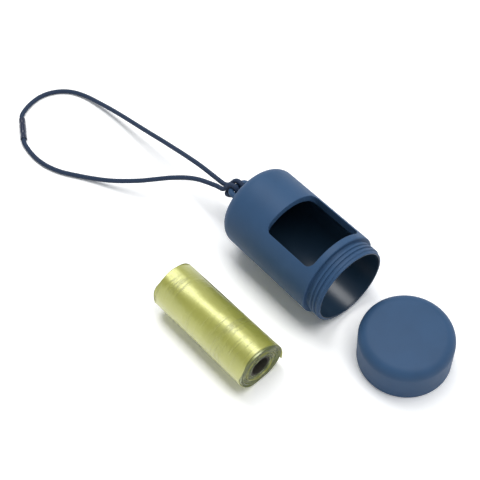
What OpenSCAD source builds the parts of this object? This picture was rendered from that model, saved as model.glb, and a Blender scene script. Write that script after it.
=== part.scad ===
// Waste bag dispenser: a round holder with a window, its screw cap, a roll of bags and a wrist cord.
// The pieces lie as they do when the holder has been opened for a refill: the holder on its side,
// the cap standing on its rim beyond the mouth, the roll beside the holder, the cord loop behind it.
// +X runs along the holder from its closed end to its mouth, and the surface they lie on is at z = 0.

/* [Holder] */
// Outside diameter of the holder, and of its cap
holder_d = 45; // [42:0.5:56]
// Length of the holder from its closed end to the shoulder
holder_len = 63; // [60:0.5:84]
// Thickness of the barrel's wall
holder_wall = 3.4; // [3.2:0.1:4]
// Thickness of the closed end
end_wall = 3; // [2:0.25:4.5]
// Rounding where the closed end meets the barrel
end_round = 6.5; // [5.5:0.25:9]
// Radius of the closed end's shallow dome
end_dome_r = 120; // [80:5:240]
// Rounding of the shoulder and of the cap's rim
rim_round = 0.6; // [0.3:0.1:1]

/* [Window] */
// Length of the window along the holder
window_len = 30.9; // [20:0.5:34]
// Width of the window, measured straight across
window_w = 32.4; // [20:0.4:33]
// Rounding of the window's corners
window_round = 3.5; // [1.5:0.25:8]
// Width of the band left between the window and the shoulder
window_band = 3.4; // [2.5:0.1:12]

/* [Neck and thread] */
// How far the plain neck is set in from the barrel's outside
neck_step = 2.35; // [2:0.05:2.5]
// Length of the neck
neck_len = 8.5; // [8:0.25:12]
// Rise of the thread for each turn
thread_pitch = 2.2; // [2:0.1:2.5]
// Number of turns of the thread
thread_turns = 2.8; // [1.5:0.1:3]
// Height of the thread's ridge above the neck
thread_depth = 0.75; // [0.4:0.05:0.8]
// Width of the ridge at its foot
thread_foot = 1.6; // [1.3:0.05:1.7]
// Width of the ridge at its crest
thread_crest = 1; // [0.6:0.05:1.2]
// Distance from the shoulder to the middle of the first ridge
thread_start = 1.5; // [1.2:0.1:2]
// Room between the neck's thread and the cap, sideways and endways
thread_gap = 0.15; // [0.05:0.05:0.3]

/* [Cap] */
// Height of the cap
cap_h = 21.6; // [16:0.2:30]
// Thickness of the cap's closed face
cap_wall = 2; // [1.4:0.1:3]
// Rounding between the cap's face and its side
cap_round = 5.3; // [4:0.1:7]
// Radius of the cap's shallow dome
cap_dome_r = 300; // [150:10:500]

/* [Bail] */
// Thickness of the bail's bar
bail_bar_d = 3; // [2.4:0.1:3]
// Clear width inside the bail
bail_inner_w = 7.4; // [7.4:0.2:9]
// How far the bail stands out from the closed end
bail_reach = 13; // [12.5:0.5:18]
// Bend of the bail's corners, at the middle of the bar
bail_bend_r = 2.6; // [2:0.1:3.2]

/* [Roll of bags] */
// Length of the roll
roll_len = 62; // [50:0.5:64]
// Diameter of the full roll
roll_d = 25.6; // [22:0.2:32]
// Number of bags on the roll
bag_count = 15; // [8:1:20]
// Outside diameter of the paper core
core_d = 11.6; // [10.8:0.1:14]
// Bore of the paper core
core_bore_d = 9.5; // [7:0.1:10]
// Room between one bag and the next
film_gap = 0.05; // [0.02:0.01:0.08]
// How far the bags' edges stray from one another along the roll
film_stray = 0.3; // [0:0.05:0.5]

/* [Cord] */
// Diameter of the cord
cord_d = 2.5; // [1.8:0.1:2.5]
// Outside diameter of the ferrule
ferrule_d = 3.8; // [3.5:0.1:4.5]
// Length of the ferrule
ferrule_len = 16; // [12:0.5:17]
// Room round the cord in the ferrule
ferrule_gap = 0.1; // [0.05:0.05:0.2]

/* [Layout] */
// Clear distance from the mouth to the cap
cap_apart = 12.4; // [5:0.2:40]
// Sideways shift of the cap from the holder's axis
cap_shift = 2.3; // [0:0.1:10]
// Clear distance from the holder to the roll, at the closed end
roll_apart = 22.9; // [10:0.1:50]
// Distance of the roll's far end from the holder's closed end
roll_shift = 8.3; // [0:0.1:20]
// Angle between the roll and the holder
roll_yaw = 1.9; // [0:0.1:8]
// Turn of the holder about its own axis, window leaning to +Y
holder_turn = 4.5; // [0:0.5:8]

/* [Hidden] */
$fn = 96;
cut = 0.5;

holder_r = holder_d / 2;
bore_r = holder_r - holder_wall;
neck_r = holder_r - neck_step;
bore_round = max(1, end_round - end_wall);
cord_r = cord_d / 2;

thread_crest_r = neck_r + thread_depth;
thread_root = 0.3;
thread_steps = 36;
run_out = 6;
cap_thread_foot = thread_pitch - thread_crest - 2 * thread_gap;
cap_thread_crest = thread_pitch - thread_foot - thread_gap;

cap_bore_r = thread_crest_r + thread_gap;
cap_side = holder_r - cap_bore_r;
cap_x = holder_len + neck_len + cap_apart + holder_r;

roll_r = roll_d / 2;
core_r = core_d / 2;
first_r = core_r + film_gap;
bag_pitch = (roll_r + film_gap - first_r) / bag_count;
bag_t = bag_pitch - film_gap;
half_step = bag_pitch / 2;
roll_y = -(holder_r + roll_apart + roll_r);
roll_z = roll_r + half_step;

bail_bar_r = bail_bar_d / 2;
bail_half = bail_inner_w / 2 + bail_bar_r;
bar_out = bail_reach - bail_bar_r;

// The frame's origin is under the middle of the box round everything but the cord.
x_low = -bail_reach;
x_high = cap_x + holder_r;
y_low = roll_y - roll_r * cos(roll_yaw);
y_high = max(cap_shift + holder_r, holder_r);
origin = [(x_low + x_high) / 2, (y_low + y_high) / 2, 0];

// The cord's route runs from the ferrule along the upper strand to the hitch, and back along the
// lower strand to the ferrule. The hitch round the bail's bar is given as [out from the bar, along
// the bar, up]: over the bar, through the eye, round below, across under both strands and back again.
HITCH = [
    [12.7, -3.55, -1.6], [9.7, -3.4, -1.6], [7.2, -3.15, -1.6], [5.34, -2.61, -1.4], [4.05, -1.78, -0.83],
    [3.2, -0.77, 0.21], [2.46, 0.17, 1.49], [1.28, 0.88, 2.54], [-0.41, 1.27, 2.82], [-2.06, 1.43, 1.97],
    [-2.85, 1.53, 0.19], [-2.3, 1.71, -1.68], [-0.68, 1.91, -2.89], [1.11, 1.82, -3.5],
    [2.46, 1.17, -3.87], [3.2, -0.05, -4.1], [3.42, -1.63, -4.21], [3.22, -3.24, -4.18],
    [2.62, -4.53, -4.02], [1.62, -5.12, -3.73], [0.27, -4.84, -3.37], [-1.17, -3.92, -2.87],
    [-2.31, -2.94, -1.86], [-2.84, -2.35, -0.28], [-2.51, -2.26, 1.35], [-1.34, -2.5, 2.51],
    [0.25, -2.97, 2.84], [1.7, -3.59, 2.19], [2.66, -4.32, 0.74], [3.48, -5.07, -0.75],
    [4.7, -5.75, -1.75], [6.8, -6.3, -1.95], [9.4, -7, -2.05]
];

// The free strands, in millimetres from the holder's closed end and from the surface. They lie on
// the surface near the ferrule, and rise to the hitch, which they leave level.
UPPER = [
    [-154.9, -44.6, 1.6], [-157.2, -38.7, 1.4], [-158, -32.1, 1.3], [-156.5, -25.7, 1.3],
    [-152.7, -19.7, 1.3], [-146.9, -15, 1.4], [-138.5, -11.7, 1.9], [-127.5, -9.6, 3.1],
    [-116, -8.2, 5], [-104.5, -7.3, 7.1], [-93, -6.7, 9.4], [-81, -6.1, 11.9],
    [-69.5, -5.5, 14.4], [-58, -5, 16.8], [-47, -4.5, 18.9], [-36, -4, 20.4]
];
LOWER = [
    [-30.3, -10.6, 20.2], [-36.9, -14.3, 18.9], [-44, -19.1, 16.5], [-51.4, -24.6, 13.3],
    [-58.7, -29.9, 10], [-67.8, -35.9, 6.6], [-75.2, -40.4, 4.3], [-83, -44.7, 2.5],
    [-90.5, -49, 1.6], [-100.5, -54.9, 1.3], [-109.4, -58.4, 1.3], [-117.7, -59.9, 1.3],
    [-124.4, -60, 1.3], [-129.6, -59.5, 1.5]
];
// Middle of the ferrule, and the way it points from the upper strand to the lower one
FERRULE_AT = [-142.7, -53.7];
FERRULE_YAW = -29;
// Straight cord before the ferrule, and half the seam between the two ends inside it
FERRULE_LEAD = 2.5;
CORD_SEAM = 0.1;
// Rings of the tube for each point of the route
cord_steps = 2;
// Rings on each side of one that are too near along the cord to count for its gap to itself
HITCH_NEAR = 7;

function two_digits(n) = n < 10 ? str("0", n) : str(n);
function bag_name(n) = str("bag_", two_digits(n));

// Helpers

// Turns a piece that was drawn standing on Z so that it lies along X, its own Y upwards.
module lay_down() {
    rotate([90, 0, 90]) children();
}

// Puts a piece that is placed from the holder's closed end into the part's frame.
module place() {
    translate(-origin) children();
}

// Half outline of a turned piece: a shallow dome at y = 0, a tangent rounding, a straight side
// and a small rounding at the far rim. dome_r, round_r and rim_r are their radii.
module domed_outline(r, len, round_r, dome_r, rim_r) {
    round_y = dome_r - sqrt(pow(dome_r - round_r, 2) - pow(r - round_r, 2));
    meet_x = (r - round_r) * dome_r / (dome_r - round_r);
    translate([r - round_r, round_y]) circle(round_r);
    translate([0, round_y]) square([r, len - rim_r - round_y]);
    translate([0, round_y]) square([r - rim_r, len - round_y]);
    if (rim_r > 0) translate([r - rim_r, len - rim_r]) circle(rim_r);
    intersection() {
        translate([0, dome_r]) circle(dome_r, $fn = 720);
        square([meet_x, round_y]);
    }
}

// A rectangle centred on the origin with round corners
module round_rectangle(size, r) {
    square([size.x - 2 * r, size.y], center = true);
    square([size.x, size.y - 2 * r], center = true);
    for (x = [-1, 1], y = [-1, 1])
        translate([x * (size.x / 2 - r), y * (size.y / 2 - r)]) circle(r);
}

// A helical ridge round Z. foot and crest are its widths at foot_r and crest_r, and it stands outwards
// or inwards, whichever way crest_r lies. It fades into foot_r at both ends.
module helix_ridge(foot_r, crest_r, foot, crest, pitch, turns, start) {
    last = round(thread_steps * turns);
    side = sign(crest_r - foot_r);
    function fade(i) = min(1, i / run_out, (last - i) / run_out);
    function ridge(i) = let (
        a = 360 * i / thread_steps,
        z = start + pitch * i / thread_steps,
        top_r = foot_r + (crest_r - foot_r) * fade(i),
        way = [cos(a), sin(a), 0],
        up = [0, 0, side]
    ) [
        way * foot_r + [0, 0, z] - up * foot / 2,
        way * top_r + [0, 0, z] - up * crest / 2,
        way * top_r + [0, 0, z] + up * crest / 2,
        way * foot_r + [0, 0, z] + up * foot / 2
    ];
    skin_over([for (i = [1:last - 1]) ridge(i)]);
}

// A closed solid over rings that all have as many points, with flat ends
module skin_over(rings) {
    sides = len(rings[0]);
    last = len(rings) - 1;
    points = [for (ring = rings) for (p = ring) p];
    walls = [
        for (i = [0:last - 1], j = [0:sides - 1]) let (
            k = (j + 1) % sides,
            a = i * sides + j,
            b = i * sides + k,
            c = a + sides,
            d = b + sides
        ) each [[a, b, d], [a, d, c]]
    ];
    near_end = [for (j = [1:sides - 2]) [0, j + 1, j]];
    far_end = [for (j = [1:sides - 2]) [last * sides, last * sides + j, last * sides + j + 1]];
    polyhedron(points, concat(walls, near_end, far_end));
}

function unit(v) = v / norm(v);

// A smooth curve through the route's points, each stretch cut into steps
function curve(route, steps) = let (
    last = len(route) - 1,
    far = concat([2 * route[0] - route[1]], route, [2 * route[last] - route[last - 1]])
) concat(
    [
        for (i = [0:last - 1], j = [0:steps - 1]) let (
            u = j / steps, a = far[i], b = far[i + 1], c = far[i + 2], d = far[i + 3]
        ) (2 * b + (c - a) * u + (2 * a - 5 * b + 4 * c - d) * u * u + (3 * b - a - 3 * c + d) * u * u * u) / 2
    ],
    [route[last]]
);

// The direction at each point of a path
function headings(path) = let (last = len(path) - 1) [
    for (i = [0:last]) unit(path[min(i + 1, last)] - path[max(i - 1, 0)])
];

// A sideways direction carried along a path without twisting
function sideways(ways, kept, i = 1) = i >= len(ways) ? kept
    : let (n = kept[i - 1], t = ways[i]) sideways(ways, concat(kept, [unit(n - (n * t) * t)]), i + 1);

// The rings of a round tube of radius r along a path, each square to it
function tube_rings(path, r, sides = 8) = let (
    ways = headings(path),
    start = unit([0, 0, 1] - ways[0].z * ways[0]),
    across = sideways(ways, kept = [start])
) [
    for (i = [0:len(path) - 1]) let (n = across[i], b = cross(ways[i], n)) [
        for (j = [0:sides - 1]) let (a = 360 * (j + 0.5) / sides) path[i] + r * (cos(a) * n + sin(a) * b)
    ]
];

function path_length(path) = len(path) < 2 ? 0
    : [for (i = [1:len(path) - 1]) norm(path[i] - path[i - 1])] * [for (i = [1:len(path) - 1]) 1];

// How far a point is from the straight piece between two others
function off_piece(p, a, b) = let (
    u = max(0, min(1, (p - a) * (b - a) / ((b - a) * (b - a))))
) norm(p - a - u * (b - a));

// The least clear distance of a tube of diameter d from itself, beyond a distance along it
function own_gap(path, d, beyond) = min([
    for (i = [0:len(path) - 1], j = [0:len(path) - 2])
        if (abs(i - j - 0.5) > beyond) off_piece(path[i], path[j], path[j + 1])
]) - d;

// A point of the hitch, from the bar's own directions to the holder's
function on_bar(p) = [
    -bar_out - p.x,
    p.y * cos(holder_turn) + p.z * sin(holder_turn),
    holder_r - p.y * sin(holder_turn) + p.z * cos(holder_turn)
];

// A point on the ferrule's axis, at a distance from its middle
function on_ferrule(s) = [
    FERRULE_AT.x + s * cos(FERRULE_YAW), FERRULE_AT.y + s * sin(FERRULE_YAW), ferrule_d / 2
];

ferrule_ends = [CORD_SEAM, ferrule_len / 2, ferrule_len / 2 + FERRULE_LEAD];
cord_path = curve(concat(
    [for (s = ferrule_ends) on_ferrule(-s)],
    UPPER,
    [for (p = HITCH) on_bar(p)],
    LOWER,
    [for (i = [2:-1:0]) on_ferrule(ferrule_ends[i])]
), cord_steps);
cord_rings = tube_rings(cord_path, cord_r);
hitch_first = cord_steps * (len(ferrule_ends) + len(UPPER));
hitch_last = hitch_first + cord_steps * (len(HITCH) - 1);
cord_last = len(cord_path) - 1;
hitch_gap = own_gap([for (i = [hitch_first:hitch_last]) cord_path[i]], cord_d, HITCH_NEAR);
echo(origin = origin, cord_length = path_length(cord_path), hitch_gap = hitch_gap, bag_pitch = bag_pitch);

// Pieces

// The arch on the closed end: two legs, two bends and a bar, standing on the end at z = 0
module bail() {
    leg = bar_out - bail_bend_r;
    bar = 2 * (bail_half - bail_bend_r);
    for (side = [0, 1]) mirror([side, 0, 0]) {
        translate([bail_half, 0, -leg]) cylinder(r = bail_bar_r, h = leg + end_wall / 2);
        translate([bail_half - bail_bend_r, 0, -leg])
            rotate([-90, 0, 0])
                rotate_extrude(angle = 90) translate([bail_bend_r, 0]) circle(bail_bar_r, $fn = 48);
    }
    translate([-bar / 2, 0, -bar_out]) rotate([0, 90, 0]) cylinder(r = bail_bar_r, h = bar);
}

module window() {
    middle = holder_len - window_band - window_len / 2;
    translate([0, 0, middle])
        rotate([-90, 0, 0])
            linear_extrude(holder_r + cut) round_rectangle([window_w, window_len], window_round);
}

module neck() {
    translate([0, 0, holder_len - cut]) cylinder(r = neck_r, h = neck_len + cut);
}

module holder() {
    color("#3f5a80") place() translate([0, 0, holder_r]) lay_down() rotate([0, 0, -holder_turn]) {
        difference() {
            union() {
                rotate_extrude() domed_outline(holder_r, holder_len, end_round, end_dome_r, rim_round);
                neck();
                bail();
            }
            translate([0, 0, end_wall])
                rotate_extrude()
                    domed_outline(bore_r, holder_len + neck_len, bore_round, end_dome_r - end_wall, 0);
            window();
        }
        translate([0, 0, holder_len])
            helix_ridge(neck_r - thread_root, thread_crest_r, thread_foot, thread_crest,
                thread_pitch, thread_turns, thread_start);
    }
}

// The cap's inner ridge lies half a turn's rise from the neck's, so that it runs between its turns.
module cap() {
    color("#3f5a80") place() translate([cap_x, cap_shift, 0]) {
        difference() {
            translate([0, 0, cap_h]) mirror([0, 0, 1])
                rotate_extrude() domed_outline(holder_r, cap_h, cap_round, cap_dome_r, rim_round);
            translate([0, 0, cap_h - cap_wall]) mirror([0, 0, 1])
                rotate_extrude()
                    domed_outline(cap_bore_r, cap_h, max(1, cap_round - cap_side), cap_dome_r - cap_wall, 0);
        }
        helix_ridge(cap_bore_r + thread_root, neck_r + thread_gap, cap_thread_foot, cap_thread_crest,
            thread_pitch, thread_turns, thread_start + thread_pitch / 2);
    }
}

// Places what is drawn along the roll's axis, from its far end.
module on_roll() {
    place() translate([roll_shift, roll_y, roll_z]) rotate([0, 0, roll_yaw]) lay_down() children();
}

module roll_core() {
    color("#b9b6a6") on_roll() difference() {
        cylinder(r = core_r, h = roll_len);
        translate([0, 0, -cut]) cylinder(r = core_bore_d / 2, h = roll_len + 2 * cut);
    }
}

// One bag, as one turn of the spiral: a half ring above and a wider half ring, half a step aside, below
module bag(n) {
    r = first_r + (n - 1) * bag_pitch;
    stray = film_stray * sin(137 * n);
    color("#c9d080") on_roll() translate([0, 0, stray]) {
        rotate_extrude(angle = 180) translate([r, 0]) square([bag_t, roll_len]);
        translate([half_step, 0, 0]) rotate([0, 0, 180])
            rotate_extrude(angle = 180) translate([r + half_step, 0]) square([bag_t, roll_len]);
    }
}

// The cord from one ring of its path to another
module cord_stretch(first, last) {
    color("#1f3250") place() skin_over([for (i = [first:last]) cord_rings[i]]);
}

module cord_upper() {
    cord_stretch(0, hitch_first);
}

module cord_hitch() {
    cord_stretch(hitch_first, hitch_last);
}

module cord_lower() {
    cord_stretch(hitch_last, cord_last);
}

module cord_ferrule() {
    color("#17233d") place()
        translate([FERRULE_AT.x, FERRULE_AT.y, ferrule_d / 2]) rotate([0, 90, FERRULE_YAW]) difference() {
            cylinder(r = ferrule_d / 2, h = ferrule_len, center = true);
            cylinder(r = cord_r + ferrule_gap, h = ferrule_len + 2 * cut, center = true);
        }
}

holder();
cap();
roll_core();
for (n = [1:bag_count]) {
    bag(n);
}
cord_hitch();
cord_upper();
cord_lower();
cord_ferrule();
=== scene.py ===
"""A round waste bag dispenser, opened for a refill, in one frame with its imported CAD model.

The holder lies on its side with its wrist cord behind it, the cap stands on its rim beyond the
mouth, and the roll of bags lies beside the holder. Sizes are millimetres from the holder's closed
end and from the surface, as in the part's source, and become metres in the part's frame.
"""

from __future__ import annotations

import logging
import math
from dataclasses import dataclass, field
from enum import Enum
from functools import partialmethod
from itertools import accumulate
from typing import Any

import bmesh
import bpy
import numpy as np
from mathutils import Matrix


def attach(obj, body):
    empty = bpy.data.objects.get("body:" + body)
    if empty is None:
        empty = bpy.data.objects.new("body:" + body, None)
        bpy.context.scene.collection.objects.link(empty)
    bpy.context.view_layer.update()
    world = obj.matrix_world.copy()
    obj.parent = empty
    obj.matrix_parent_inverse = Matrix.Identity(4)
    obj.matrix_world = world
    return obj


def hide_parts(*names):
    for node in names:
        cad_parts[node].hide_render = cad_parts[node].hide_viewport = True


LOG = logging.getLogger("dispenser")
TURN = 2 * math.pi
Triple = tuple[float, float, float]

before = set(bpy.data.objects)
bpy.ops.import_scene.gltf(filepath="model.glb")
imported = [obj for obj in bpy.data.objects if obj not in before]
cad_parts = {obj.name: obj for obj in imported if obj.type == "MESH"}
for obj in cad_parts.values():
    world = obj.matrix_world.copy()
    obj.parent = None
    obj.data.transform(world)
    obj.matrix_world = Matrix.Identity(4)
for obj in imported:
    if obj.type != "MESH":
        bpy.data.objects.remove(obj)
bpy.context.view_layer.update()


class Body(Enum):
    """The moving bodies that pieces ride on."""

    HOLDER = "holder"
    CAP = "cap"
    ROLL = "roll"


class Slot(Enum):
    """The record's material slots."""

    SHELL = "shell_plastic"
    PAPER = "core_paper"
    FILM = "bag_film"
    BRAID = "cord_braid"
    FERRULE = "ferrule_plastic"


@dataclass(frozen=True)
class Layout:
    """Where the pieces lie, in millimetres from the holder's closed end and from the surface."""

    origin: Triple = (57.95, -23.09648, 0.0)
    holder_r: float = 22.5
    holder_turn: float = math.radians(4.5)
    cap_x: float = 106.4
    cap_y: float = 2.3
    roll_x: float = 8.3
    roll_y: float = -58.2
    roll_z: float = 13.03333
    roll_yaw: float = math.radians(1.9)

    def to_frame(self, points: np.ndarray) -> np.ndarray:
        """Points in millimetres from the closed end, as metres in the part's frame."""
        return (np.asarray(points, float) - self.origin) / 1000

    def gather(self, x: np.ndarray, y: np.ndarray, z: np.ndarray) -> np.ndarray:
        """Three coordinates in millimetres, put together as points of the part's frame."""
        return self.to_frame(np.stack(np.broadcast_arrays(x, y, z), -1))

    def from_holder(self, along: np.ndarray, side: np.ndarray, up: np.ndarray) -> np.ndarray:
        """Turns the holder's own directions into the part's frame.

        Args:
            along: distance from the closed end along the axis.
            side: distance from the axis to the window's side.
            up: distance from the axis towards the window.

        Returns:
            Points with one more axis: x is along, and side and up are turned about x.
        """
        c, s = math.cos(self.holder_turn), math.sin(self.holder_turn)
        return self.gather(along, side * c + up * s, self.holder_r - side * s + up * c)

    def from_roll(self, along: np.ndarray, side: np.ndarray, up: np.ndarray) -> np.ndarray:
        """Points given along the roll from its far end, sideways and up, in the part's frame."""
        c, s = math.cos(self.roll_yaw), math.sin(self.roll_yaw)
        x, y = self.roll_x + along * c - side * s, self.roll_y + along * s + side * c
        return self.gather(x, y, self.roll_z + up)

    def from_cap(self, side: np.ndarray, back: np.ndarray, up: np.ndarray) -> np.ndarray:
        """Points given from the cap's axis and the surface, in the part's frame."""
        return self.gather(self.cap_x + side, self.cap_y + back, up)


LAYOUT = Layout()


def unit(v: np.ndarray) -> np.ndarray:
    """Each vector over its own length."""
    return v / np.linalg.norm(v, axis=-1, keepdims=True)


def smooth(x: np.ndarray, low: float, high: float) -> np.ndarray:
    """Rises from 0 at low to 1 at high as 3t squared less 2t cubed."""
    t = np.clip((x - low) / (high - low), 0, 1)
    return t * t * (3 - 2 * t)


def circle(columns: int) -> np.ndarray:
    """Even angles round a circle."""
    return TURN * np.arange(columns) / columns


def straight(along: np.ndarray, r: float) -> np.ndarray:
    """A stretch of outline that keeps its radius or height, as (along, radius) pairs."""
    return np.column_stack([along, np.full(len(along), r)])


def stand(
    name: str, data: bpy.types.ID, right: np.ndarray, back: np.ndarray, at: Any
) -> bpy.types.Object:
    """Makes a camera or a lamp that looks away from back, and stands it at a point."""
    thing = bpy.data.objects.new(name, data)
    bpy.context.scene.collection.objects.link(thing)
    matrix = np.eye(4)
    matrix[:3, :3] = np.stack([right, np.cross(back, right), back], -1)
    matrix[:3, 3] = at
    thing.matrix_world = Matrix(matrix.tolist())
    return thing


def ripples(
    across: np.ndarray, along: np.ndarray, waves: int, reach: tuple[int, float], seed: int
) -> np.ndarray:
    """A smooth random height from -1 to 1 that closes round a piece.

    It is a mean of plane waves cos(k * across + w * along + phase), with whole k up to reach's
    first number and w up to its second.

    Args:
        across: angle round the piece, in radians.
        along: distance along it.
        waves: how many waves are added.
        reach: the highest count round the piece, and the highest count for each unit along it.
        seed: fixes the waves.

    Returns:
        Heights, of the shape of across and along together.
    """
    rng = np.random.default_rng(seed)
    k = rng.integers(-reach[0], reach[0] + 1, waves)
    w = rng.uniform(0.15, 1, waves) * reach[1]
    phase = rng.uniform(0, TURN, waves)
    grid = np.asarray(across)[..., None] * k + np.asarray(along)[..., None] * w + phase
    return np.clip(np.cos(grid).sum(-1) / math.sqrt(waves), -1, 1)


class Skin:
    """Gathers grids of points and makes one mesh of them, its shared edges joined."""

    def __init__(self, name: str) -> None:
        """Starts an empty skin with the finished object's name."""
        self.name = name
        self.points: list[np.ndarray] = []
        self.faces: list[np.ndarray] = []
        self.corners: list[np.ndarray] = []
        self.slots: list[np.ndarray] = []
        self.marks: list[np.ndarray] = []
        self.count = 0

    def grid(
        self,
        points: np.ndarray,
        closed: tuple[bool, bool] = (False, False),
        slot: int = 0,
        hole: tuple[slice, slice] | None = None,
        span: tuple[float, float] = (1.0, 1.0),
        mark: np.ndarray | float = 0.0,
    ) -> Skin:
        """Adds the quads of a grid of points.

        Args:
            points: rows by columns by 3.
            closed: whether the last row joins the first, and the last column the first.
            slot: the material's place on the object.
            hole: the rows and columns of quads that are left out.
            span: how far the piece's own pattern runs over the rows and over the columns.
            mark: a value kept at each point for the finish.

        Returns:
            This skin, so that grids can be added in a row.
        """
        rows, columns = points.shape[:2]
        i, j = np.meshgrid(
            np.arange(rows - 1 + closed[0]), np.arange(columns - 1 + closed[1]), indexing="ij"
        )
        keep = np.ones(i.shape, bool)
        if hole is not None:
            keep[hole] = False
        i, j = i[keep], j[keep]
        ring = [(i, j), (i, j + 1), (i + 1, j + 1), (i + 1, j)]
        self.faces.append(
            self.count + np.stack([(a % rows) * columns + b % columns for a, b in ring], -1)
        )
        corners = [np.stack([a * span[0] / rows, b * span[1] / columns], -1) for a, b in ring]
        self.corners.append(np.stack(corners, 1))
        self.slots.append(np.full(len(i), slot))
        self.points.append(points.reshape(-1, 3))
        self.marks.append(np.broadcast_to(np.asarray(mark, float), (rows, columns)).ravel())
        self.count += rows * columns
        return self

    def build(self, materials: list[bpy.types.Material], merge: float = 2e-6) -> bpy.types.Object:
        """Makes the object, joins what touches and turns its faces outwards."""
        points = np.concatenate(self.points)
        faces = np.concatenate(self.faces)
        mesh = bpy.data.meshes.new(self.name)
        mesh.from_pydata(points.tolist(), [], faces.tolist())
        uv = mesh.uv_layers.new(name="lay")
        uv.data.foreach_set("uv", np.concatenate(self.corners).astype(np.float32).ravel())
        mesh.polygons.foreach_set("material_index", np.concatenate(self.slots).astype(np.int32))
        mark = mesh.attributes.new("mark", "FLOAT", "POINT")
        mark.data.foreach_set("value", np.concatenate(self.marks).astype(np.float32))
        for material in materials:
            mesh.materials.append(material)
        work = bmesh.new()
        work.from_mesh(mesh)
        bmesh.ops.remove_doubles(work, verts=work.verts, dist=merge)
        bmesh.ops.dissolve_degenerate(work, edges=work.edges, dist=1e-7)
        bmesh.ops.recalc_face_normals(work, faces=work.faces)
        work.to_mesh(mesh)
        work.free()
        mesh.polygons.foreach_set("use_smooth", np.ones(len(mesh.polygons), bool))
        mesh.update()
        piece = bpy.data.objects.new(self.name, mesh)
        bpy.context.scene.collection.objects.link(piece)
        return piece


def settle(piece: bpy.types.Object, body: Body, slot: Slot, *nodes: str) -> bpy.types.Object:
    """Rides a finished piece on its body and hides the CAD nodes that it stands for."""
    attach(piece, body.value)
    if nodes:
        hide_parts(*nodes)
    LOG.info("%s: %d faces, on %s", piece.name, len(piece.data.polygons), body.value)
    return piece


def turned(rows: np.ndarray, columns: int) -> tuple[np.ndarray, np.ndarray, np.ndarray]:
    """A turned surface: the profile's distances along and out, carried round the axis.

    Args:
        rows: the profile, as (along, radius) pairs.
        columns: how many points go round.

    Returns:
        Grids of along, side and up, where side is radius times sine and up is radius times cosine.
    """
    angle = circle(columns)
    along = np.repeat(rows[:, :1], columns, 1)
    return along, rows[:, 1:] * np.sin(angle), rows[:, 1:] * np.cos(angle)


def arc(centre: tuple[float, float], r: float, start: float, end: float, count: int) -> np.ndarray:
    """Points of a circle from one angle to another in degrees, as (along, radius) pairs."""
    a = np.radians(np.linspace(start, end, count))
    return np.stack([centre[0] + r * np.cos(a), centre[1] + r * np.sin(a)], -1)


def domed_profile(
    r: float, round_r: float, dome_r: float, dome_rows: int, round_rows: int
) -> np.ndarray:
    """The half outline of a domed end, from its apex to where the side begins.

    The dome is a circle of radius dome_r about the axis, and the rounding a circle that touches
    the dome and the side.

    Args:
        r: radius of the side.
        round_r: radius of the rounding.
        dome_r: radius of the dome.
        dome_rows: points on the dome.
        round_rows: points on the rounding.

    Returns:
        (along, radius) pairs, along being 0 at the apex.
    """
    round_x = dome_r - math.sqrt((dome_r - round_r) ** 2 - (r - round_r) ** 2)
    meet = math.asin((r - round_r) / (dome_r - round_r))
    a = np.linspace(0, meet, dome_rows)
    dome = np.stack([dome_r - dome_r * np.cos(a), dome_r * np.sin(a)], -1)
    rounding = arc((round_x, r - round_r), round_r, 180 - math.degrees(meet), 90, round_rows)
    return np.vstack([dome, rounding[1:]])


@dataclass(frozen=True)
class Thread:
    """A right-handed thread's ridge, which fades at both ends.

    A turn of it is centred at start + pitch * turns from the ridge's beginning. It is flat up to
    flat on each side of that, and has sloped away at foot.
    """

    start: float
    flat: float
    foot: float
    pitch: float = 2.2
    turns: float = 2.8
    depth: float = 0.75
    fade: float = 0.16

    def height(self, along: np.ndarray, angle: np.ndarray) -> np.ndarray:
        """How far the ridge stands out, in millimetres.

        Args:
            along: distance along the axis from the shoulder or the rim.
            angle: angle from the window's middle, in radians.

        Returns:
            Heights, of the shape of along and angle together.
        """
        best = np.zeros(np.broadcast(along, angle).shape)
        for k in range(math.ceil(self.turns) + 1):
            turn = np.mod(0.25 - angle / TURN, 1) + k
            off = np.abs(along - self.start - self.pitch * turn)
            last = smooth(turn, self.turns - self.fade, self.turns)
            fade = smooth(turn, 0, self.fade) * (1 - last)
            best = np.maximum(best, (1 - smooth(off, self.flat, self.foot)) * fade)
        return best * self.depth


# Shader graphs


class Term:
    """A shader socket that takes part in sums: each operation on it adds one Math node."""

    def __init__(self, graph: Graph, socket: bpy.types.NodeSocket) -> None:
        """Wraps an output socket of a graph."""
        self.graph = graph
        self.socket = socket

    def math(self, operation: str, *others: Any) -> Term:
        """A Math node of this term and others."""
        inputs = dict(enumerate((self, *others)))
        return self.graph.add("ShaderNodeMath", {"operation": operation}, inputs)

    __add__ = __radd__ = partialmethod(math, "ADD")
    __sub__ = partialmethod(math, "SUBTRACT")
    __mul__ = partialmethod(math, "MULTIPLY")

    def between(self, low: float, high: float) -> Term:
        """0 below low, 1 above high, and smooth between them."""
        return self.graph.add(
            "ShaderNodeMapRange",
            {"interpolation_type": "SMOOTHSTEP", "clamp": True},
            {"Value": self, "From Min": low, "From Max": high},
        )


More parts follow.
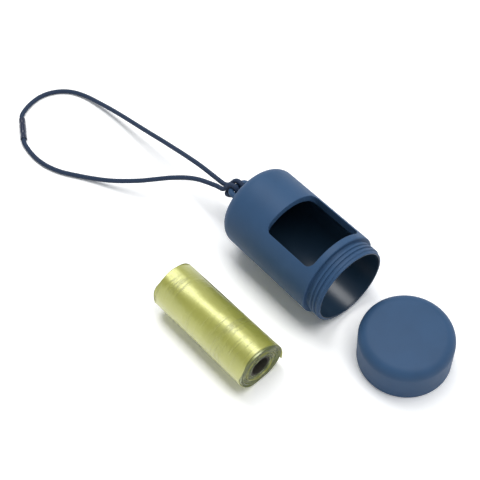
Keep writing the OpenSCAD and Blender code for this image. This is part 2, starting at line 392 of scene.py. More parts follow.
class Graph:
    """The nodes of a material or of a world."""

    def __init__(self, owner: Any, shader: str = "Principled BSDF") -> None:
        """Turns on the owner's nodes and finds its shader among them."""
        self.owner = owner
        owner.use_nodes = True
        self.nodes = owner.node_tree.nodes
        self.links = owner.node_tree.links
        self.shader = self.nodes[shader]

    def set(self, node: bpy.types.Node, inputs: dict[Any, Any]) -> None:
        """Links or fills a node's inputs, by name or number."""
        for key, value in inputs.items():
            if isinstance(value, Term):
                self.links.new(value.socket, node.inputs[key])
            else:
                node.inputs[key].default_value = value

    def finish(self, inputs: dict[Any, Any]) -> Any:
        """Links or fills the shader's inputs and gives back the owner."""
        self.set(self.shader, inputs)
        return self.owner

    def add(
        self,
        kind: str,
        settings: dict[str, Any] | None = None,
        inputs: dict[Any, Any] | None = None,
        output: Any = 0,
    ) -> Term:
        """Adds a node.

        Args:
            kind: the node's type name.
            settings: its own settings.
            inputs: values or terms for its inputs, by name or number.
            output: which output is wanted, by name or number.

        Returns:
            The output as a term.
        """
        node = self.nodes.new(kind)
        for key, value in (settings or {}).items():
            setattr(node, key, value)
        self.set(node, inputs or {})
        return Term(self, node.outputs[output])

    def place(self, stretch: Triple = (1, 1, 1)) -> Term:
        """Object coordinates, stretched along each axis."""
        where = self.add("ShaderNodeTexCoord", output="Object")
        return self.add("ShaderNodeMapping", None, {"Vector": where, "Scale": stretch})

    def lay(self, stretch: Triple = (1, 1, 1)) -> Term:
        """The piece's own pattern coordinates, stretched along each axis."""
        where = self.add("ShaderNodeUVMap", {"uv_map": "lay"})
        return self.add("ShaderNodeMapping", None, {"Vector": where, "Scale": stretch})

    def mark(self) -> Term:
        """The value that the piece keeps at each point."""
        return self.add("ShaderNodeAttribute", {"attribute_name": "mark"}, output="Fac")

    def noise(self, where: Term, scale: float, detail: float = 2, rough: float = 0.5) -> Term:
        """Cloudy noise from 0 to 1, scale giving its spots for each metre or each turn."""
        return self.add(
            "ShaderNodeTexNoise", None,
            {"Vector": where, "Scale": scale, "Detail": detail, "Roughness": rough},
        )

    def mix(self, share: Any, first: Any, second: Any) -> Term:
        """A colour between two, share giving how much of the second there is."""
        return self.add(
            "ShaderNodeMix", {"data_type": "RGBA"}, {0: share, 6: first, 7: second}, output=2
        )

    def bump(
        self, height: Term, depth: float, strength: float = 1.0, under: Term | None = None
    ) -> Term:
        """A relief of that depth in metres for a height from 0 to 1."""
        inputs = {"Height": height, "Distance": depth, "Strength": strength}
        if under is not None:
            inputs["Normal"] = under
        return self.add("ShaderNodeBump", None, inputs)


def rgba(colour: Triple, share: float = 1.0) -> tuple[float, ...]:
    """A colour with its fourth number, made darker or lighter by share."""
    return (*(min(1.0, c * share) for c in colour), 1.0)


class Finishes:
    """Every finish of the object, each made once."""

    def __init__(self) -> None:
        """Makes the materials."""
        self.shell = self.moulded(
            "shell_plastic", (0.033, 0.080, 0.166), rough=0.54, grain=0.000012, gloss=0.22
        )
        self.bore = self.moulded(
            "bore_plastic", (0.012, 0.030, 0.056), rough=0.3, grain=0.000006, coat=0.1
        )
        self.ferrule = self.moulded(
            "ferrule_plastic", (0.010, 0.018, 0.050), rough=0.22, grain=0.000004, coat=0.5
        )
        self.film = self.wound_film("bag_film", (0.46, 0.47, 0.055), (0.11, 0.15, 0.015))
        self.paper = self.wound_paper("core_paper", (0.045, 0.042, 0.03))
        self.braid = self.braided_yarn("cord_braid", (0.009, 0.028, 0.072))

    @staticmethod
    def moulded(
        name: str, colour: Triple, rough: float, grain: float, gloss: float = 0.5, coat: float = 0.0
    ) -> bpy.types.Material:
        """Moulded plastic: mottled colour, uneven roughness and a fine grain.

        Args:
            name: the material's name.
            colour: its mean colour.
            rough: its mean roughness.
            grain: depth of the grain in metres.
            gloss: the shader's specular level.
            coat: weight of the coat.

        Returns:
            The material.
        """
        g = Graph(bpy.data.materials.new(name))
        where = g.place()
        cloud = g.noise(where, 60, 3)
        fleck = g.noise(where, 2600, 2, 0.6)
        tone = g.mix(cloud.between(0.3, 0.7), rgba(colour, 0.95), rgba(colour, 1.06))
        return g.finish({
            "Base Color": g.mix(fleck * 0.12, tone, rgba(colour, 1.3)),
            "Roughness": rough + (cloud - 0.5) * 0.08 + (fleck - 0.5) * 0.06,
            "Normal": g.bump(fleck, grain),
            "Coat Weight": coat,
            "Coat Roughness": 0.3,
            "Specular IOR Level": gloss,
        })

    @staticmethod
    def wound_film(name: str, pale: Triple, deep: Triple) -> bpy.types.Material:
        """Thin film, wound tight: pearly, with crinkles that run round the roll, lightened as a
        painted highlight.

        The pattern's coordinates run from 0 to 1 along the roll and from 0 to 1 round it. The
        colour goes from pale to deep with the mark: the deep colour is painted shade on the ends of
        the turns.
        """
        g = Graph(bpy.data.materials.new(name))
        crease = g.noise(g.lay((34, 2.6, 1)), 1, 3, 0.6)
        patch = g.noise(g.lay((5, 2.5, 1)), 1, 2)
        fine = g.noise(g.lay((110, 9, 1)), 1, 2, 0.7)
        drift = g.noise(g.lay((2.2, 2.0, 1)), 1, 2)
        lift = crease.between(0.46, 0.66) * patch.between(0.45, 0.62)
        tone = g.mix(drift.between(0.3, 0.7), rgba(pale, 0.94), rgba(pale, 1.04))
        # Painted shade: the mark darkens the turns' ends towards the deep colour.
        tone = g.mix(g.mark(), tone, rgba(deep))
        waves = g.bump(patch, 0.0008, 0.7)
        return g.finish({
            # Painted highlight: the crinkles mix the colour towards a lighter film colour; they
            # also raise the roughness and the relief.
            "Base Color": g.mix(lift * 0.25, tone, rgba(pale, 1.15)),
            "Roughness": 0.36 + fine * 0.08 + lift * 0.06,
            "Normal": g.bump(lift + fine * 0.3, 0.0007, 1.0, waves),
            "Coat Weight": 0.75 + patch * 0.25,
            "Coat Roughness": 0.38,
            "Coat IOR": 1.9,
            "IOR": 2.0,
            "Metallic": 0.4,
        })

    @staticmethod
    def wound_paper(name: str, colour: Triple) -> bpy.types.Material:
        """Wound paper: short fibres, matt and a little uneven."""
        g = Graph(bpy.data.materials.new(name))
        fibre = g.noise(g.place((220, 2600, 2600)), 1, 4, 0.7)
        cloud = g.noise(g.place(), 400, 2)
        tone = g.mix(fibre.between(0.35, 0.65), rgba(colour, 0.75), rgba(colour, 1.2))
        return g.finish({
            "Base Color": g.mix(cloud * 0.4, tone, rgba(colour, 0.8)),
            "Roughness": 0.82 + fibre * 0.12,
            "Normal": g.bump(fibre, 0.00006),
        })

    @staticmethod
    def braided_yarn(name: str, colour: Triple) -> bpy.types.Material:
        """Braid: painted shade in the gaps and painted light on the yarns' crowns, by the mark,
        with fine filaments along each yarn.
        """
        g = Graph(bpy.data.materials.new(name))
        filament = g.noise(g.lay((2400, 40, 1)), 1, 3, 0.7)
        # Painted shade and light: the braid's height darkens the gaps and lightens the crowns.
        tone = g.mix(g.mark().between(0.25, 0.9), rgba(colour, 0.45), rgba(colour, 1.35))
        return g.finish({
            "Base Color": g.mix(filament * 0.35, tone, rgba(colour, 0.7)),
            "Roughness": 0.62 + filament * 0.2,
            "Normal": g.bump(filament, 0.00004),
            "Sheen Weight": 0.02,
            "Sheen Roughness": 0.5,
        })


# The camera and the light


@dataclass(frozen=True)
class Viewpoint:
    """The photograph's camera, worked out from the outlines of the holder, the cap and the roll."""

    at: Triple = (233.6, -173.9, 399.3)
    right: Triple = (0.6469, 0.7597, -0.0660)
    up: Triple = (-0.5982, 0.5592, 0.5739)
    lens: float = 70.12
    sensor: float = 36.0

    def make(self) -> None:
        """Sets the scene's camera."""
        right = unit(np.array(self.right))
        back = unit(np.cross(right, np.array(self.up)))
        data = bpy.data.cameras.new("camera")
        data.lens = self.lens
        data.sensor_width = self.sensor
        data.clip_start = 0.01
        at = LAYOUT.to_frame(np.array(self.at))
        bpy.context.scene.camera = stand("camera", data, right, back, at)


class Studio:
    """A white table in a room that is white round the horizon and dim above, with a soft lamp.

    The room's glow goes from room_glow above the height wall_top to room_glow + wall_glow below
    wall_full, both being heights on a sphere of radius 1.
    """

    lamp_at = (-0.08, 0.19, 0.95)
    lamp_aim = (0.0, 0.0, 0.02)
    lamp_level = (0.0, 1.0, 0.05)
    lamp_size = (1.5, 0.46)
    lamp_power = 10.9
    room_colour = (0.94, 0.97, 1.0, 1)
    room_glow = 0.2
    wall_glow = 0.8
    wall_top = 0.55
    wall_full = 0.22
    floor_half = 3.0
    floor_tone = 0.8
    floor_seen = 1.22

    def make(self) -> None:
        """Hangs the lamp and builds the room and the floor."""
        self.lamp()
        self.room()
        x, y = np.meshgrid(*[[-self.floor_half, self.floor_half]] * 2)
        Skin("floor").grid(np.stack([x, y, 0 * x], -1)).build([self.table_top()])

    def lamp(self) -> None:
        """Hangs a rectangular lamp that faces its aim."""
        data = bpy.data.lights.new("lamp_top", "AREA")
        data.shape = "RECTANGLE"
        data.size, data.size_y = self.lamp_size
        data.energy = self.lamp_power
        back = unit(np.subtract(self.lamp_at, self.lamp_aim))
        stand("lamp_top", data, unit(np.cross(self.lamp_level, back)), back, self.lamp_at)

    def room(self) -> None:
        """Makes the world, whose strength depends on height alone."""
        g = Graph(bpy.data.worlds.new("room"), "Background")
        where = g.add("ShaderNodeTexCoord", output="Generated")
        height = g.add("ShaderNodeSeparateXYZ", None, {0: where}, output="Z")
        wall = height.between(self.wall_top, self.wall_full) * self.wall_glow
        inputs = {"Color": self.room_colour, "Strength": wall + self.room_glow}
        bpy.context.scene.world = g.finish(inputs)

    def table_top(self) -> bpy.types.Material:
        """White board that clips to white where nothing shades it, and keeps the shadows.

        Its colour is brighter where it is seen directly, in a gloss or through a clear piece.
        """
        g = Graph(bpy.data.materials.new("table_top"))
        camera, glossy, through = (
            g.add("ShaderNodeLightPath", output=f"Is {kind} Ray")
            for kind in ("Camera", "Glossy", "Transmission")
        )
        seen = camera.math("MAXIMUM", glossy).math("MAXIMUM", through)
        tones = ((*[tone] * 3, 1) for tone in (self.floor_tone, self.floor_seen))
        return g.finish({
            "Base Color": g.mix(seen, *tones), "Roughness": 0.75, "Specular IOR Level": 0.0
        })


# The cord


@dataclass
class WristCord:
    """One length of round braid over elastic, hitched round the bail, its ends in a ferrule.

    The hitch's points are given outwards, sideways and up from the bail's bar, and the strands'
    points from the holder's closed end and the surface.
    """

    finishes: Finishes
    diameter: float = 2.5
    relief: float = 0.13
    mean_height: float = 0.7
    yarns: int = 8
    columns: int = 32
    step: float = 0.19
    bar_out: float = 11.5
    ferrule_at: tuple[float, float] = (-142.7, -53.7)
    ferrule_yaw: float = math.radians(-29)
    ferrule_d: float = 3.8
    ferrule_len: float = 16.0
    ferrule_wall: float = 0.55
    ferrule_lip: float = 0.22
    pinch: float = 0.13
    pinch_at: float = 4.0
    pinch_reach: float = 1.1
    lead: float = 2.5
    seam: float = 0.1
    cuts: int = 24
    hitch: tuple[Triple, ...] = (
        (12.7, -3.55, -1.6), (9.7, -3.4, -1.6), (7.2, -3.15, -1.6), (5.34, -2.61, -1.4),
        (4.05, -1.78, -0.83), (3.2, -0.77, 0.21), (2.46, 0.17, 1.49), (1.28, 0.88, 2.54),
        (-0.41, 1.27, 2.82), (-2.06, 1.43, 1.97), (-2.85, 1.53, 0.19), (-2.3, 1.71, -1.68),
        (-0.68, 1.91, -2.89), (1.11, 1.82, -3.5), (2.46, 1.17, -3.87), (3.2, -0.05, -4.1),
        (3.42, -1.63, -4.21), (3.22, -3.24, -4.18), (2.62, -4.53, -4.02), (1.62, -5.12, -3.73),
        (0.27, -4.84, -3.37), (-1.17, -3.92, -2.87), (-2.31, -2.94, -1.86), (-2.84, -2.35, -0.28),
        (-2.51, -2.26, 1.35), (-1.34, -2.5, 2.51), (0.25, -2.97, 2.84), (1.7, -3.59, 2.19),
        (2.66, -4.32, 0.74), (3.48, -5.07, -0.75), (4.7, -5.75, -1.75), (6.8, -6.3, -1.95),
        (9.4, -7, -2.05),
    )
    upper: tuple[Triple, ...] = (
        (-154.9, -44.6, 1.6), (-157.2, -38.7, 1.4), (-158, -32.1, 1.3), (-156.5, -25.7, 1.3),
        (-152.7, -19.7, 1.3), (-146.9, -15, 1.4), (-138.5, -11.7, 1.9), (-127.5, -9.6, 3.1),
        (-116, -8.2, 5), (-104.5, -7.3, 7.1), (-93, -6.7, 9.4), (-81, -6.1, 11.9),
        (-69.5, -5.5, 14.4), (-58, -5, 16.8), (-47, -4.5, 18.9), (-36, -4, 20.4),
    )
    lower: tuple[Triple, ...] = (
        (-30.3, -10.6, 20.2), (-36.9, -14.3, 18.9), (-44, -19.1, 16.5), (-51.4, -24.6, 13.3),
        (-58.7, -29.9, 10), (-67.8, -35.9, 6.6), (-75.2, -40.4, 4.3), (-83, -44.7, 2.5),
        (-90.5, -49, 1.6), (-100.5, -54.9, 1.3), (-109.4, -58.4, 1.3), (-117.7, -59.9, 1.3),
        (-124.4, -60, 1.3), (-129.6, -59.5, 1.5),
    )

    def on_ferrule(self, along: Any, side: Any = 0.0, up: Any = 0.0) -> np.ndarray:
        """Points given from the ferrule's middle, along its axis, sideways and up."""
        c, s = math.cos(self.ferrule_yaw), math.sin(self.ferrule_yaw)
        x, y = self.ferrule_at
        placed = (x + along * c - side * s, y + along * s + side * c, self.ferrule_d / 2 + up)
        return np.stack(np.broadcast_arrays(*placed), -1)

    def route(self) -> tuple[np.ndarray, int, int]:
        """The cord's own points, and which of them begin and end the hitch."""
        ends = [self.seam, self.ferrule_len / 2, self.ferrule_len / 2 + self.lead]
        hitch = np.array(self.hitch)
        c, s = math.cos(LAYOUT.holder_turn), math.sin(LAYOUT.holder_turn)
        on_bar = np.stack([
            -self.bar_out - hitch[:, 0],
            hitch[:, 1] * c + hitch[:, 2] * s,
            LAYOUT.holder_r - hitch[:, 1] * s + hitch[:, 2] * c,
        ], -1)
        first = len(ends) + len(self.upper)
        points = np.vstack([
            [self.on_ferrule(-s) for s in ends], self.upper, on_bar, self.lower,
            [self.on_ferrule(s) for s in ends[::-1]],
        ])
        return points, first, first + len(hitch) - 1

    def fine_path(self) -> tuple[np.ndarray, np.ndarray]:
        """The route as an even smooth line.

        Each stretch between two points is the cubic through them whose slope at a point is half
        the step between its neighbours. The line is then cut again into even lengths.

        Returns:
            The line's points in the part's frame, and the distances along it, in millimetres,
            where the hitch begins and ends.
        """
        route, first, last = self.route()
        far = np.vstack([2 * route[0] - route[1], route, 2 * route[-1] - route[-2]])
        a, b, c, d = (far[k:len(far) - 3 + k, None] for k in range(4))
        u = (np.arange(self.cuts) / self.cuts)[None, :, None]
        square, cube = 2 * a - 5 * b + 4 * c - d, 3 * b - a - 3 * c + d
        dense = (2 * b + (c - a) * u + square * u**2 + cube * u**3) / 2
        dense = np.vstack([dense.reshape(-1, 3), route[-1]])
        run = np.r_[0, np.cumsum(np.linalg.norm(np.diff(dense, axis=0), axis=1))]
        even = np.linspace(0, run[-1], round(run[-1] / self.step) + 1)
        line = np.stack([np.interp(even, run, dense[:, k]) for k in range(3)], -1)
        return LAYOUT.to_frame(line), run[[first * self.cuts, last * self.cuts]]

    def braid_height(self, along: np.ndarray, angle: np.ndarray) -> np.ndarray:
        """How high the braid stands, from 0 to 1.

        Yarns wind both ways at 45 degrees. A yarn's height is the absolute cosine across it, and
        it is raised where the product of both families' cosines says that it passes over.

        Args:
            along: distance along the cord in millimetres.
            angle: angle round it in radians.

        Returns:
            The height of whichever family is on top.
        """
        wind = self.yarns * along / (math.pi * self.diameter)
        around = self.yarns * angle / TURN
        one, two = np.cos(math.pi * (around + wind)), np.cos(math.pi * (around - wind))
        over = one * two
        return np.maximum(np.abs(one) * (0.75 + 0.25 * over), np.abs(two) * (0.75 - 0.25 * over))

    def braid(self, name: str, line: np.ndarray, offset: float) -> bpy.types.Object:
        """A tube of braid along a line.

        A sideways direction is carried along the line without twisting, and each ring is a circle
        about the line whose radius follows the braid.

        Args:
            name: the piece's name.
            line: the centreline in the part's frame.
            offset: the distance along the whole cord at which this stretch begins.

        Returns:
            The finished tube, closed at both ends.
        """
        ways = unit(np.gradient(line, axis=0))
        start = unit(np.cross(ways[0], [0.0, 0.0, 1.0]))

        def carry(kept: np.ndarray, way: np.ndarray) -> np.ndarray:
            """The kept direction, squared to the next heading."""
            return unit(kept - (kept @ way) * way)

        across = np.array(list(accumulate(ways[1:], carry, initial=start)))
        other = np.cross(ways, across)
        angle = circle(self.columns)
        along = offset + self.step * np.arange(len(line))
        height = self.braid_height(along[:, None], angle[None])
        r = (self.diameter / 2 - self.relief * (self.mean_height - height)) / 1000
        c, s = np.cos(angle)[None, :, None], np.sin(angle)[None, :, None]
        rings = line[:, None] + r[..., None] * (c * across[:, None] + s * other[:, None])
        caps = [np.repeat(line[k][None, None], self.columns, 1) for k in (0, -1)]
        height = np.vstack([height[:1], height, height[-1:]])
        grid = np.concatenate([caps[0], rings, caps[1]])
        # The braid's height is kept as the mark, from which the finish paints shade in the gaps and
        # light on the crowns.
        return Skin(name).grid(
            grid, (False, True), span=(len(line) * self.step / 1000, 1.0), mark=height
        ).build([self.finishes.braid])

    def ferrule(self) -> bpy.types.Object:
        """The crimped sleeve: a turned tube with rolled ends, pinched a little in two places."""
        half, r, lip = self.ferrule_len / 2, self.ferrule_d / 2, self.ferrule_lip
        outer = np.linspace(-half + lip, half - lip, 61)
        pinch = self.pinch * np.exp(-((np.abs(outer) - self.pinch_at) / self.pinch_reach) ** 2)
        profile = np.vstack([
            arc((-half + lip, r - lip), lip, 180, 90, 7)[:-1],
            np.stack([outer, r - pinch], -1),
            arc((half - lip, r - lip), lip, 90, 0, 7)[1:],
            straight(np.linspace(half, -half, 9), r - self.ferrule_wall),
        ])
        points = LAYOUT.to_frame(self.on_ferrule(*turned(profile, 48)))
        return Skin("cord_sleeve").grid(points, (True, True)).build([self.finishes.ferrule])

    def build(self) -> None:
        """Makes the cord's three stretches and the ferrule, and says what they are."""
        line, marks = self.fine_path()
        first, last = (int(round(m / self.step)) for m in marks)
        sleeve = settle(self.ferrule(), Body.HOLDER, Slot.FERRULE, "cord_ferrule")
        stretches = (
            ("cord_upper_strand", "cord_upper", line[: first + 1], 0.0),
            ("cord_hitch_loop", "cord_hitch", line[first : last + 1], first * self.step),
            ("cord_lower_strand", "cord_lower", line[last:], last * self.step),
        )
        for name, node, part, offset in stretches:
            piece = settle(self.braid(name, part, offset), Body.HOLDER, Slot.BRAID, node)


# The holder


@dataclass
class Holder:
    """The moulded barrel with its window, threaded neck and bail."""

    finishes: Finishes
    length: float = 63.0
    outer_r: float = 22.5
    bore_r: float = 19.1
    end_wall: float = 3.0
    end_round: float = 6.5
    dome_r: float = 120.0
    rim_round: float = 0.6
    window_len: float = 30.9
    window_w: float = 32.4
    window_round: float = 3.5
    window_band: float = 3.4
    window_edge: float = 0.35
    neck_r: float = 20.15
    neck_len: float = 8.5
    neck_foot: float = 0.25
    shoulder_r: float = 21.2
    thread: Thread = Thread(start=1.5, flat=0.42, foot=0.85)
    lip_round: float = 0.35
    bar_r: float = 1.5
    bail_half: float = 5.2
    bail_out: float = 11.5
    bail_bend: float = 2.6
    bail_foot: float = 0.8
    bail_sunk: float = 1.2
    columns: int = 240
    window_rows: int = 48
    block: tuple[float, float] = (24.0, 61.4)
    outer_half: int = 38
    inner_half: int = 45

    def rim_of_window(self, out: float, counts: tuple[int, int]) -> np.ndarray:
        """A ring of points at a distance outside the window's rounded rectangle, seen from above.

        Each of the four sides runs from the middle of one corner to the middle of the next, as an
        eighth of a circle, a straight line and an eighth of a circle, cut into even lengths.

        Args:
            out: distance outside the window's edge.
            counts: pieces on the sides across the holder, and on the sides along it.

        Returns:
            (along, side) pairs that close on themselves, from the corner at high along and
            negative side.
        """
        half = np.array([self.window_len / 2, self.window_w / 2])
        r = self.window_round

        def side(reach: float, run: float, count: int) -> np.ndarray:
            """One side: its distance from the middle and its position along itself."""
            straight = 2 * (run - r)
            eighth = math.pi / 4 * r
            s = np.linspace(0, straight + 2 * eighth, count, endpoint=False)
            a = np.clip((eighth - s) / r, 0, None) - np.clip((s - eighth - straight) / r, 0, None)
            flat = np.clip(s - eighth, 0, straight) - straight / 2
            return np.stack([
                reach - r + (r + out) * np.cos(a), flat - (r + out) * np.sin(a)
            ], -1)

        across = side(half[0], half[1], counts[0])
        along = side(half[1], half[0], counts[1])
        middle = self.length - self.window_band - self.window_len / 2
        ring = np.vstack([
            across,
            np.stack([-along[:, 1], along[:, 0]], -1),
            -across,
            np.stack([along[:, 1], -along[:, 0]], -1),
        ])
        return ring + [middle, 0]

    def collar(self, r: float, half_columns: int, inside: bool) -> list[np.ndarray]:
        """The part of a wall that goes from the window's edge out to the block cut from the barrel.

        Near the edge the rows follow a quarter circle from the cut down the wall to the surface.
        Farther out each point moves evenly in distance along and angle to the block's border.

        Args:
            r: radius of the surface.
            half_columns: columns from the window's middle to the block's border.
            inside: whether this is the bore, whose edge turns the other way.

        Returns:
            Rings of (along, side, up), from the cut to the border.
        """
        counts = (2 * half_columns, self.window_rows)
        edge = self.window_edge * (0.6 if inside else 1.0)
        rings = []
        for a in np.radians(np.linspace(0, 90, 6)):
            ring = self.rim_of_window(edge * (1 - math.cos(a)), counts)
            fall = edge * (1 - math.sin(a))
            up = np.sqrt(r**2 - ring[:, 1] ** 2) + (fall if inside else -fall)
            rings.append(np.column_stack([ring, up]))
        near = rings[-1]
        start = np.column_stack([near[:, 0], np.arcsin(near[:, 1] / r)])
        w = np.linspace(*self.block, self.window_rows + 1)
        q = TURN / self.columns * np.arange(-half_columns, half_columns + 1)
        border = np.vstack([
            straight(q[:-1], w[-1])[:, ::-1],
            straight(w[:0:-1], q[-1]),
            straight(q[:0:-1], w[0])[:, ::-1],
            straight(w[:-1], q[0]),
        ])
        for t in np.linspace(0, 1, 9)[1:]:
            p = start + (border - start) * t
            rings.append(np.column_stack([p[:, 0], r * np.sin(p[:, 1]), r * np.cos(p[:, 1])]))
        return rings

    def outline(
        self, end: np.ndarray, r: float, between: int, rest: list[np.ndarray]
    ) -> tuple[np.ndarray, int]:
        """A wall's outline from the apex to the lip.

        Args:
            end: the domed end's outline.
            r: the wall's radius.
            between: rows from the end to the window's block, with both ends counted.
            rest: what follows the block, in pieces.

        Returns:
            (along, radius) pairs, and the row where the block starts.
        """
        barrel = np.linspace(end[-1, 0], self.block[0], between)[1:-1]
        block = np.linspace(*self.block, self.window_rows + 1)
        first = len(end) + len(barrel)
        return np.vstack([end, straight(barrel, r), straight(block, r), *rest]), first

    def outer_profile(self) -> tuple[np.ndarray, int]:
        """The outside's outline from the apex to the mouth's lip, and the block's first row."""
        end = domed_profile(self.outer_r, self.end_round, self.dome_r, 14, 15)
        q, foot, lip = self.rim_round, self.neck_foot, self.lip_round
        mouth = self.length + self.neck_len
        return self.outline(end, self.outer_r, 9, [
            np.array([[self.length - 1, self.outer_r]]),
            arc((self.length - q, self.outer_r - q), q, 90, 0, 7),
            np.array([[self.length, self.shoulder_r]]),
            arc((self.length + foot, self.neck_r + foot), foot, 180, 270, 5)[:-1],
            straight(np.linspace(self.length + foot, mouth - lip, 78), self.neck_r),
            arc((mouth - lip, self.neck_r - lip), lip, 90, 0, 6)[1:],
        ])

    def inner_profile(self) -> tuple[np.ndarray, int]:
        """The bore's outline from the apex to the lip, and the block's first row."""
        wall, lip = self.end_wall, self.lip_round
        end = domed_profile(self.bore_r, self.end_round - wall, self.dome_r - wall, 8, 10)
        mouth = self.length + self.neck_len
        return self.outline(end + [wall, 0], self.bore_r, 7, [
            straight(np.linspace(self.block[1], mouth - lip, 10)[1:], self.bore_r),
            arc((mouth - lip, self.bore_r + lip), lip, 270, 360, 6)[1:],
        ])

    def shell(self) -> bpy.types.Object:
        """The barrel: outside, bore, lip and the window's cut, joined into one closed skin."""
        skin = Skin("holder_shell")
        spin = circle(self.columns)
        lips = []
        for inside, half_columns in ((False, self.outer_half), (True, self.inner_half)):
            profile, first = self.inner_profile() if inside else self.outer_profile()
            # The columns start at the block's low border, so that the block is one slice of them.
            angle = spin - TURN / self.columns * half_columns
            past = profile[:, :1] - self.length
            threaded = (past > 0.2) & (not inside)
            r = profile[:, 1:] + self.thread.height(past, angle[None]) * threaded
            points = LAYOUT.from_holder(profile[:, :1], r * np.sin(angle), r * np.cos(angle))
            hole = (slice(first, first + self.window_rows), slice(0, 2 * half_columns))
            skin.grid(points, (False, True), slot=int(inside), hole=hole)
            rings = self.collar(self.bore_r if inside else self.outer_r, half_columns, inside)
            around = LAYOUT.from_holder(*np.moveaxis(np.stack(rings), -1, 0))
            skin.grid(around, (False, True), slot=int(inside))
            lips.append(profile[-1])
        skin.grid(self.window_wall(), (False, True))
        (mouth, outer_r), (_, inner_r) = lips
        r = outer_r + (inner_r - outer_r) * np.linspace(0, 1, 3)[:, None]
        lip = LAYOUT.from_holder(mouth, r * np.sin(spin), r * np.cos(spin))
        skin.grid(lip, (False, True))
        return skin.build([self.finishes.shell, self.finishes.bore])

    def window_wall(self) -> np.ndarray:
        """The window's cut: straight down from the outside's edge to the bore's edge."""
        counts = (2 * self.outer_half, self.window_rows)
        ring = self.rim_of_window(0.0, counts)
        top = np.sqrt(self.outer_r**2 - ring[:, 1] ** 2) - self.window_edge
        low = np.sqrt(self.bore_r**2 - ring[:, 1] ** 2) + self.window_edge * 0.6
        up = top + (low - top) * np.linspace(0, 1, 5)[:, None]
        return LAYOUT.from_holder(ring[:, 0], ring[:, 1], up)

    def bail(self) -> bpy.types.Object:
        """The arch on the closed end: a round bar along two legs and two bends.

        Each leg's radius grows towards the end wall as a quarter circle, so that it meets the wall
        in a soft foot.
        """
        bend_r, foot = self.bail_bend, self.bail_foot
        leg = np.linspace(-self.bail_sunk, self.bail_out - bend_r, 22)
        bend = arc((self.bail_out - bend_r, self.bail_half - bend_r), bend_r, 90, 0, 14)
        half = np.vstack([straight(leg, self.bail_half), bend[1:]])
        line = np.vstack([half, (half * [1, -1])[::-1]])
        gap = np.clip(line[:, 0] - 0.15, 0, foot)
        r = self.bar_r + foot - np.sqrt(np.clip(foot**2 - (foot - gap) ** 2, 0, None))
        way = unit(np.gradient(line, axis=0))
        angle = circle(32)
        out = line[:, None, 0] - r[:, None] * np.cos(angle) * way[:, None, 1]
        side = line[:, None, 1] + r[:, None] * np.cos(angle) * way[:, None, 0]
        points = LAYOUT.from_holder(-out, side, r[:, None] * np.sin(angle))
        return Skin("holder_bail").grid(points, (False, True)).build([self.finishes.shell])

    def build(self) -> None:
        """Makes the holder's pieces."""
        settle(self.shell(), Body.HOLDER, Slot.SHELL, "holder")
        settle(self.bail(), Body.HOLDER, Slot.SHELL)


@dataclass
class Cap:
    """The deep screw cap, standing on its open rim."""

    finishes: Finishes
    outer_r: float = 22.5
    height: float = 21.6
    bore_r: float = 21.05
    wall: float = 2.0
    top_round: float = 5.3
    dome_r: float = 300.0
    bore_round: float = 3.85
    rim_round: float = 0.6
    lip_round: float = 0.3
    thread: Thread = Thread(start=2.6, flat=0.15, foot=0.5)
    columns: int = 240

    def build(self) -> None:
        """Makes the cap: a turned shell whose bore carries the inner ridge of the thread."""
        outer = domed_profile(self.outer_r, self.top_round, self.dome_r, 20, 22)
        inner = domed_profile(self.bore_r, self.bore_round, self.dome_r - self.wall, 10, 10)
        inner = inner + [self.wall, 0]
        q, lip = self.rim_round, self.lip_round
        outside = np.vstack([
            outer,
            straight(np.linspace(outer[-1, 0], self.height - q, 12)[1:], self.outer_r),
            arc((self.height - q, self.outer_r - q), q, 90, 0, 7)[1:],
            arc((self.height - lip, self.bore_r + lip), lip, 360, 270, 5),
        ])
        bore = np.linspace(inner[-1, 0], self.height - lip, 80)[1:]
        profile = np.vstack([outside, straight(bore, self.bore_r)[::-1], inner[::-1]])
        angle = circle(self.columns)
        inside = np.arange(len(profile))[:, None] >= len(outside)
        up = self.height - profile[:, :1]
        r = profile[:, 1:] - self.thread.height(up, angle[None]) * inside
        points = LAYOUT.from_cap(r * np.sin(angle), r * np.cos(angle), up)
        skin = Skin("cap_shell").grid(points, (False, True))
        settle(skin.build([self.finishes.shell]), Body.CAP, Slot.SHELL, "cap")


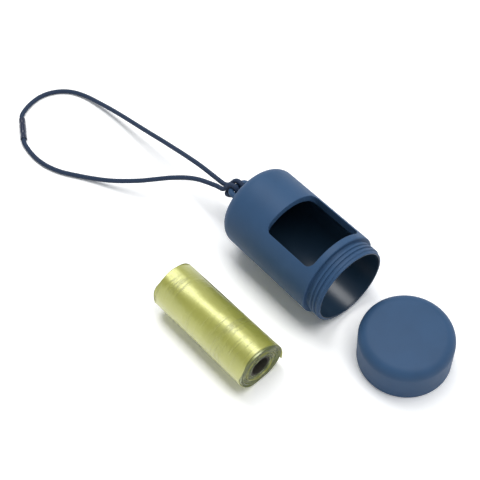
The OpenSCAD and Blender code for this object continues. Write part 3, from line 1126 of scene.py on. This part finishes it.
@dataclass
class BagRoll:
    """The roll: a paper core and fifteen bags of folded film wound on it."""

    finishes: Finishes
    length: float = 62.0
    outer_r: float = 12.8
    core_r: float = 5.8
    bags: int = 15
    gap: float = 0.05
    stray: float = 0.3
    wander: float = 0.34
    fold: float = 0.12
    sunk: float = 0.2
    soft_wave: float = 0.14
    sharp_wave: float = 0.05
    edge_rows: int = 9
    columns: int = 160
    tail_from: float = math.radians(22)
    tail_to: float = math.radians(-34)
    tail_thick: float = 0.07
    tail_flap: float = 2.2
    tail_wave: float = 0.08
    # How much painted shade darkens each bag's turn ends, from the core outwards.
    shades: tuple[float, ...] = field(default=(
        0.95, 0.2, 1.0, 0.35, 0.9, 0.1, 1.0, 0.3, 0.9, 0.15, 0.8, 1.0, 0.2, 0.85, 0.0,
    ))

    def radius(self, n: int, angle: np.ndarray) -> np.ndarray:
        """The inner radius of a bag's turn.

        It stays even over the upper half turn and grows over the lower one by half a step times
        one plus the cosine, so that a turn ends where the next one begins.
        """
        step = (self.outer_r - self.core_r) / self.bags
        first = self.core_r + self.gap + (n - 1) * step
        low = np.mod(angle, TURN) > math.pi
        return first + np.where(low, step / 2 * (1 + np.cos(angle)), 0)

    def bag(self, n: int) -> bpy.types.Object:
        """One bag's turn of the roll.

        The turn's cross-section is a closed strip: the inside, the far edge, the outside and the
        near edge. The outside sinks and rises with soft ripples, and the edges wander in and out.

        Args:
            n: the bag's number from the core.

        Returns:
            The closed strip, wound once round.
        """
        outermost = n == self.bags
        thick = (self.outer_r - self.core_r) / self.bags - self.gap
        angle = TURN * np.arange(self.columns + 1) / self.columns
        angle[-1] -= 1e-6
        stray = self.stray * math.sin(math.radians(137 * n))
        wander = self.wander * ripples(angle, 0 * angle, 9, (7, 0.0), 40 + n)
        rows = 120 if outermost else 5
        half, edge = self.length / 2, np.linspace(0.1, 0.9, self.edge_rows)
        share = np.concatenate([np.zeros(3), edge, np.ones(rows), edge[::-1]])
        pos = np.concatenate([
            [self.length, half, 0], 0 * edge, np.linspace(0, self.length, rows),
            0 * edge + self.length,
        ])
        wraps = self.fold * np.abs(np.sin(3 * math.pi * share)) * ((share > 0) & (share < 1))
        end = np.sign(pos - half) * (np.abs(pos - half) > half - 0.1)
        grid_along = pos[:, None] + stray + (wander + wraps[:, None]) * end[:, None]
        r = self.radius(n, angle) + thick * share[:, None]
        if outermost:
            skin_row = (share == 1)[:, None]
            soft = ripples(angle[None], pos[:, None] / 10, 16, (8, 1.4), 7)
            sharp = ripples(angle[None], pos[:, None] / 10, 14, (3, 7.0), 8)
            r = r - skin_row * (self.sunk + self.soft_wave * soft + self.sharp_wave * sharp)
        # Each turn keeps its painted shade as the mark; the outermost turn's outside keeps none.
        mark = np.full(r.shape, self.shades[n - 1])
        mark = mark * np.where(share == 1, 0.0 if outermost else 1.0, 1.0)[:, None]
        points = LAYOUT.from_roll(grid_along, r * np.cos(angle), r * np.sin(angle))
        skin = Skin(f"film_{n:02d}").grid(points, (True, False), mark=mark)
        for k in (0, -1):
            strip = points[:, k]
            skin.grid(np.stack(np.broadcast_arrays(strip, strip.mean(0)), 1), (True, False))
        return skin.build([self.finishes.film])

    def tail(self) -> bpy.types.Object:
        """The loose end of the outer film, lifting off the roll's back and most at the near end.

        It follows the roll from an upper angle down its back, standing off by a square law in
        angle, times a lift that grows smoothly near the end.
        """
        along = np.linspace(0.4, self.length + 0.7, 60)[:, None]
        angle = np.linspace(self.tail_from, self.tail_to, 26)[None]
        part = (self.tail_from - angle) / (self.tail_from - self.tail_to)
        lift = (0.1 + self.tail_flap * smooth(along, 50, 62.5)) * part**2
        waves = 1 + ripples(2 * angle, along / 10, 8, (3, 4.0), 3)
        lift = lift + self.tail_wave * part * waves
        base = self.outer_r - 0.15 * (1 - part) ** 2 + 0.02 + lift
        sheets = [
            LAYOUT.from_roll(along, r * np.cos(angle), r * np.sin(angle))
            for r in (base, base + self.tail_thick)
        ]
        skin = Skin("film_tail").grid(sheets[0]).grid(sheets[1])
        whole, first, last = slice(None), slice(0, 1), slice(-1, None)
        for cut in ((first, whole), (last, whole), (whole, first), (whole, last)):
            skin.grid(np.stack([sheet[cut].reshape(-1, 3) for sheet in sheets]))
        return skin.build([self.finishes.film])

    def build(self) -> None:
        """Makes the bags, the tail and the core's finish."""
        for n in range(1, self.bags + 1):
            settle(self.bag(n), Body.ROLL, Slot.FILM, f"bag_{n:02d}")
        settle(self.tail(), Body.ROLL, Slot.FILM)
        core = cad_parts["roll_core"]
        core.data.materials.clear()
        core.data.materials.append(self.finishes.paper)


def main() -> None:
    """Builds the scene in order: camera, cord, holder, cap, roll, studio."""
    logging.basicConfig(level=logging.INFO, format="%(name)s: %(message)s")
    Viewpoint().make()
    finishes = Finishes()
    WristCord(finishes).build()
    Holder(finishes).build()
    Cap(finishes).build()
    BagRoll(finishes).build()
    Studio().make()
    bpy.context.scene.view_settings.view_transform = "Standard"
    bpy.context.view_layer.update()


if __name__ == "__main__":
    main()
